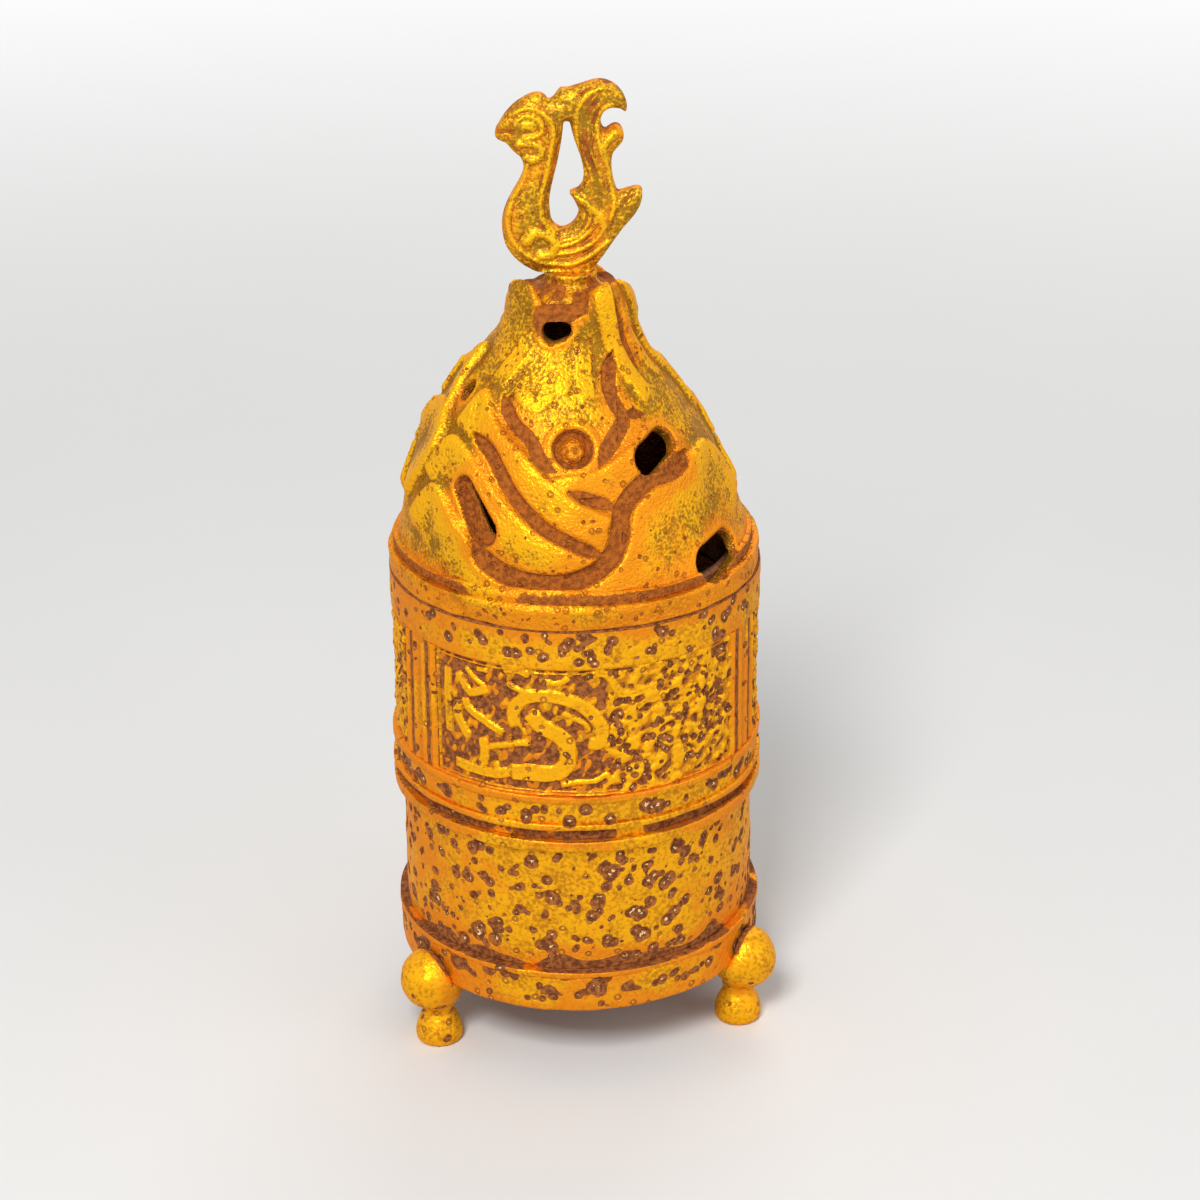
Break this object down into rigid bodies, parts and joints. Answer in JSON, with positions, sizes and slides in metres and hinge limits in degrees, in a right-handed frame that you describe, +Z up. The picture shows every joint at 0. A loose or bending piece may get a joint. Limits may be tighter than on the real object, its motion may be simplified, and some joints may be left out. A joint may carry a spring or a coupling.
{
  "type": "hill censer",
  "caption": "Round gilt-bronze incense cup on ball feet, with a hollow pierced lid in the shape of overlapping hills and an openwork bird as its handle.",
  "frame": {"origin": "on the cup's axis at the height of the surface that the feet stand on", "axes": "+Z up along the cup's axis, -Y the front with the bird in profile, +X to the right"},
  "size_m": [0.0656, 0.068, 0.1642],
  "materials": {
    "gilt_body": "worn fire gilding, pitted",
    "gilt_lid": "bright fire gilding, stippled",
    "dark_bronze": "rough reddish-brown casting skin"
  },
  "bodies": {
    "cup": {"cup_wall": "gilt_body", "cup_floor": "dark_bronze", "collar": "dark_bronze", "foot_left": "gilt_body", "foot_right": "gilt_body", "foot_back": "gilt_body", "rivet_left": "dark_bronze", "rivet_right": "dark_bronze", "rivet_back": "dark_bronze"},
    "lid": {"lid_shell": "gilt_lid", "finial_stem": "gilt_lid", "stem_washer": "dark_bronze", "phoenix": "gilt_lid"}
  },
  "joints": [
    {"name": "lid_lift", "type": "slide", "parent": "cup", "child": "lid", "axis": [0, 0, 1], "range_m": [0, 0.06]}
  ]
}
